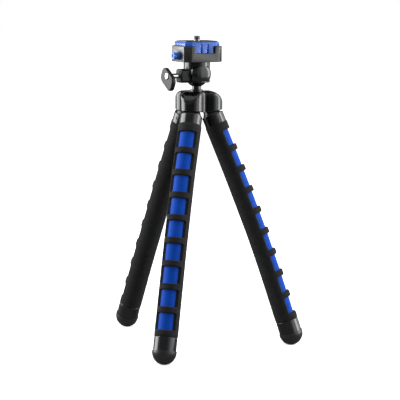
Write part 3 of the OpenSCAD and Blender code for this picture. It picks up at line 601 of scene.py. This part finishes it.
def between(tree, mask, low, high, start=0.3, stop=0.7):
    """A colour that goes from low to high as the mask goes from start to stop."""
    ramp = add(tree, "ShaderNodeValToRGB", Fac=mask)
    ramp.color_ramp.elements[0].position, ramp.color_ramp.elements[0].color = start, (*low, 1)
    ramp.color_ramp.elements[1].position, ramp.color_ramp.elements[1].color = stop, (*high, 1)
    return ramp.outputs["Color"]


def ranged(tree, mask, low, high):
    """A value that goes from low to high as the mask goes from 0.3 to 0.7."""
    return add(tree, "ShaderNodeMapRange", Value=mask, From_Min=0.3, From_Max=0.7,
               To_Min=low, To_Max=high).outputs[0]


def finish_of(name, group, values, tones, rough, bump, deep, constants):
    """A material from one of the groups: two tones, a range of roughness and a bump of a real depth."""
    material = bpy.data.materials.new(name)
    material.use_nodes = True
    tree = material.node_tree
    shader = next(n for n in tree.nodes if n.type == "BSDF_PRINCIPLED")
    pattern = tree.nodes.new("ShaderNodeGroup")
    pattern.node_tree = group
    for key, value in values.items():
        pattern.inputs[key].default_value = value
    shade = pattern.outputs["Gloss"] if "Gloss" in pattern.outputs else pattern.outputs["Pits"]
    tree.links.new(between(tree, pattern.outputs["Tone"], *tones), shader.inputs["Base Color"])
    tree.links.new(ranged(tree, shade, *rough), shader.inputs["Roughness"])
    bumps = add(tree, "ShaderNodeBump", Strength=bump, Distance=deep, Height=pattern.outputs["Height"])
    tree.links.new(bumps.outputs["Normal"], shader.inputs["Normal"])
    for key, value in constants.items():
        shader.inputs[key].default_value = value
    return material


MOULDED, CELLS = moulded_group(), cells_group()
BLACK = finish_of(
    "black_gloss", MOULDED, {"Grain": 1500.0, "Flow": 60.0},
    tones=((0.0015, 0.0015, 0.0016), (0.003, 0.003, 0.0032)),
    rough=(0.12, 0.20), bump=0.02, deep=0.02 * MM, constants={"IOR": 1.5})
BLACK_SATIN = finish_of(
    "black_satin", MOULDED, {"Grain": 2200.0, "Flow": 80.0},
    tones=((0.004, 0.004, 0.0042), (0.007, 0.007, 0.0073)),
    rough=(0.26, 0.34), bump=0.03, deep=0.02 * MM, constants={"IOR": 1.65})
BLACK_MATT = finish_of(
    "black_matt", MOULDED, {"Grain": 2400.0, "Flow": 90.0},
    tones=((0.004, 0.004, 0.0042), (0.007, 0.007, 0.0073)),
    rough=(0.30, 0.40), bump=0.04, deep=0.03 * MM, constants={"IOR": 1.35})
BLACK_METAL = finish_of(
    "black_metal", MOULDED, {"Grain": 2600.0, "Flow": 90.0},
    tones=((0.002, 0.002, 0.0022), (0.004, 0.004, 0.0043)),
    rough=(0.14, 0.22), bump=0.02, deep=0.02 * MM, constants={"IOR": 1.6})
RUBBER = finish_of(
    "black_rubber", MOULDED, {"Grain": 1900.0, "Flow": 120.0},
    tones=((0.006, 0.006, 0.0062), (0.010, 0.010, 0.0103)),
    rough=(0.30, 0.42), bump=0.10, deep=0.04 * MM, constants={"IOR": 1.5})
FOAM = finish_of(
    "leg_foam", CELLS, {"Cell": 1500.0, "Lumps": 240.0},
    tones=((0.009, 0.009, 0.0092), (0.016, 0.016, 0.0163)),
    rough=(0.76, 0.9), bump=0.35, deep=0.14 * MM,
    constants={"IOR": 1.4, "Specular IOR Level": 0.2, "Sheen Weight": 0.02, "Sheen Roughness": 0.5})
BLUE_PLASTIC = finish_of(
    "blue_moulding", MOULDED, {"Grain": 2200.0, "Flow": 70.0},
    tones=((0.006, 0.078, 0.42), (0.008, 0.088, 0.47)),
    rough=(0.22, 0.30), bump=0.02, deep=0.02 * MM, constants={"IOR": 1.6})
# The plate's blue plastic with a lighter base colour: painted light standing in for the button's highlights. It is
# also glossier.
BLUE_BUTTON_PAINTED_LIGHT = finish_of(
    "blue_button_painted_light", MOULDED, {"Grain": 2200.0, "Flow": 70.0},
    tones=((0.016, 0.13, 0.56), (0.022, 0.15, 0.62)),
    rough=(0.16, 0.24), bump=0.02, deep=0.02 * MM, constants={"IOR": 1.7})
BLUE_SLEEVE = finish_of(
    "blue_sleeve", MOULDED, {"Grain": 1700.0, "Flow": 140.0},
    tones=((0.003, 0.046, 0.32), (0.004, 0.056, 0.37)),
    rough=(0.5, 0.6), bump=0.12, deep=0.05 * MM, constants={"IOR": 1.5, "Specular IOR Level": 0.05})
STEEL = finish_of(
    "bright_steel", MOULDED, {"Grain": 2600.0, "Flow": 220.0},
    tones=((0.55, 0.55, 0.54), (0.64, 0.64, 0.63)),
    rough=(0.16, 0.28), bump=0.12, deep=0.03 * MM, constants={"Metallic": 1.0})
DARK_STEEL = finish_of(
    "dark_steel", MOULDED, {"Grain": 2600.0, "Flow": 220.0},
    tones=((0.16, 0.155, 0.15), (0.22, 0.215, 0.21)),
    rough=(0.26, 0.38), bump=0.12, deep=0.03 * MM, constants={"Metallic": 1.0})
SLOT_FINISH = {"black_plastic": BLACK, "black_metal": BLACK_METAL, "foam": FOAM, "rubber": RUBBER,
               "blue_plastic": BLUE_PLASTIC, "blue_sleeve": BLUE_SLEEVE, "steel": STEEL, "wire": STEEL}


def dress(obj, material):
    """Gives an object one material."""
    obj.data.materials.clear()
    obj.data.materials.append(material)


def mount(obj, body, slot, *nodes, finish=None):
    """Puts a finished piece on its body, in a slot's finish or one of its own, in place of CAD nodes."""
    dress(obj, finish or SLOT_FINISH[slot])
    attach(obj, body)
    if nodes:
        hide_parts(*nodes)


for part in frame["record"]["subparts"]:
    dress(frame["nodes"][part["node"]], SLOT_FINISH[part["material_slot"]])

for leg in LEGS:
    build_leg(leg)

mount(hub_piece(), "hub", "black_plastic", "hub_shell")
mount(cup_wall(), "head", "black_plastic", "socket_cup")
mount(cup_boss(), "head", "black_plastic", "front_cap")
mount(cup_lug(), "head", "black_plastic", finish=BLACK_MATT)
mount(eased_copy("clamp", "clamp_body", 0.45 * MM), "head", "black_plastic", "clamp_body", finish=BLACK_SATIN)
mount(eased_copy("plate", "quick_plate", 0.3 * MM), "plate", "blue_plastic", "quick_plate")
# The button cap wears the blue with painted light, lighter than the plate's.
mount(eased_copy("button_cap", "release_button", 0.3 * MM), "button", "blue_plastic", "release_button",
      finish=BLUE_BUTTON_PAINTED_LIGHT)
mount(screw_thread(), "screw", "steel", "camera_screw", finish=DARK_STEEL)
mount(screw_core(), "screw", "steel", finish=DARK_STEEL)
knob_paddle, knob_boss = wing_knob()
mount(knob_paddle, "wing", "black_plastic", "wing_knob", finish=BLACK_MATT)
mount(knob_boss, "wing", "steel")


# Studio

CAMERA_AZIMUTH, CAMERA_RISE, CAMERA_FAR = np.radians(-26.9), np.radians(7.8), 1.45
CAMERA_ROLL = np.radians(0.4)
IMAGE, FOCAL_PX, SENSOR_MM = 400.0, 1524.0, 36.0
AIM_PX = (195.9, 187.2)     # where the point that the camera faces lies in the picture
AIM = HUB_AT + UP * 0.150


def heading(azimuth, rise=0.0):
    """Direction from the object: azimuth 0 is the front, and it grows to the right."""
    return np.array([np.sin(azimuth) * np.cos(rise), -np.cos(azimuth) * np.cos(rise), np.sin(rise)])


def aimed(obj, at, target, roll=0.0):
    """Places a camera or light, turns it to a point and rolls it about its line of sight."""
    look = mathutils.Vector(np.array(target) - at).to_track_quat("-Z", "Y")
    obj.location = at
    obj.rotation_euler = (look @ mathutils.Quaternion((0, 0, 1), roll)).to_euler()
    bpy.context.scene.collection.objects.link(obj)


camera = bpy.data.objects.new("camera", bpy.data.cameras.new("camera"))
camera.data.sensor_width = SENSOR_MM
camera.data.lens = FOCAL_PX / IMAGE * SENSOR_MM
camera.data.shift_x = (IMAGE / 2 - AIM_PX[0]) / IMAGE
camera.data.shift_y = (AIM_PX[1] - IMAGE / 2) / IMAGE
camera.data.clip_end = 50.0
aimed(camera, AIM + heading(CAMERA_AZIMUTH, CAMERA_RISE) * CAMERA_FAR, AIM, CAMERA_ROLL)
bpy.context.scene.camera = camera


def softbox(name, turn, rise, far, size, shine):
    """A panel of even brightness that faces the object, turned from the camera by an angle in degrees.

    shine is the panel's radiance, so its power is shine * area * pi.
    """
    lamp = bpy.data.lights.new(name, "AREA")
    lamp.shape, lamp.size, lamp.size_y = "RECTANGLE", size[0], size[1]
    lamp.energy = shine * size[0] * size[1] * np.pi
    place = AIM + heading(CAMERA_AZIMUTH + np.radians(turn), np.radians(rise)) * far
    aimed(bpy.data.objects.new(name, lamp), place, AIM)


softbox("left_box", -97, 10, 1.0, (0.78, 1.5), 7.8)
softbox("left_back_edge", -124, 12, 1.05, (0.4, 0.46), 3.0)
softbox("left_front_edge", -67, 10, 1.05, (0.4, 1.5), 0.45)
softbox("right_box", 91, 10, 1.0, (0.4, 1.5), 9.0)
softbox("right_front_edge", 63, 10, 1.05, (0.62, 1.5), 2.2)
softbox("right_back_edge", 120, 20, 1.05, (0.55, 1.7), 2.2)
softbox("front_glow", 36, 10, 1.2, (0.4, 1.5), 0.5)
softbox("top_box", -5, 80, 1.2, (1.2, 1.2), 0.9)


ROOM_FILL = 0.32
GLOW_NEAR, GLOW_FAR = (0.1, 0.45), (0.5, 1.0)    # distance from the object, and the floor's glow there
PAPER_SEEN, PAPER_LIT = 0.85, 0.2                # the floor's tone to the camera, and to other light


def white_floor(reach=8.0):
    """A wide white sheet. The camera sees it glow, less so near the object, where soft shadows show."""
    mesh = bpy.data.meshes.new("floor")
    corners = [(-reach, -reach, 0), (reach, -reach, 0), (reach, reach, 0), (-reach, reach, 0)]
    mesh.from_pydata(corners, [], [(0, 1, 2, 3)])
    obj = bpy.data.objects.new("floor", mesh)
    bpy.context.scene.collection.objects.link(obj)
    paper = bpy.data.materials.new("white_paper")
    paper.use_nodes = True
    tree = paper.node_tree
    shader = next(n for n in tree.nodes if n.type == "BSDF_PRINCIPLED")
    seen = add(tree, "ShaderNodeLightPath").outputs["Is Camera Ray"]
    place = add(tree, "ShaderNodeTexCoord").outputs["Object"]
    away = add(tree, "ShaderNodeVectorMath", {"operation": "LENGTH"}, i0=place).outputs["Value"]
    glow = add(tree, "ShaderNodeMapRange", Value=away, From_Min=GLOW_NEAR[0], To_Min=GLOW_NEAR[1],
               From_Max=GLOW_FAR[0], To_Max=GLOW_FAR[1])
    tree.links.new(maths(tree, "MULTIPLY", glow.outputs[0], seen), shader.inputs["Emission Strength"])
    tone = add(tree, "ShaderNodeMapRange", Value=seen, To_Min=PAPER_LIT, To_Max=PAPER_SEEN)
    tree.links.new(tone.outputs[0], shader.inputs["Base Color"])
    shader.inputs["Emission Color"].default_value = (1, 1, 1, 1)
    shader.inputs["Roughness"].default_value = 0.9
    shader.inputs["Specular IOR Level"].default_value = 0.0
    dress(obj, paper)


def white_room():
    """The world: white to the camera, and a faint cool fill for everything else."""
    world = bpy.data.worlds.new("studio")
    bpy.context.scene.world = world
    world.use_nodes = True
    tree = world.node_tree
    white = tree.nodes["Background"]
    white.inputs["Color"].default_value = (1, 1, 1, 1)
    fill = add(tree, "ShaderNodeBackground", Color=(0.9, 0.95, 1, 1), Strength=ROOM_FILL)
    seen = add(tree, "ShaderNodeLightPath").outputs["Is Camera Ray"]
    mixed = add(tree, "ShaderNodeMixShader", i0=seen, i1=fill.outputs[0], i2=white.outputs[0])
    tree.links.new(mixed.outputs[0], tree.nodes["World Output"].inputs["Surface"])


white_floor()
white_room()
bpy.context.scene.view_settings.view_transform = "Standard"
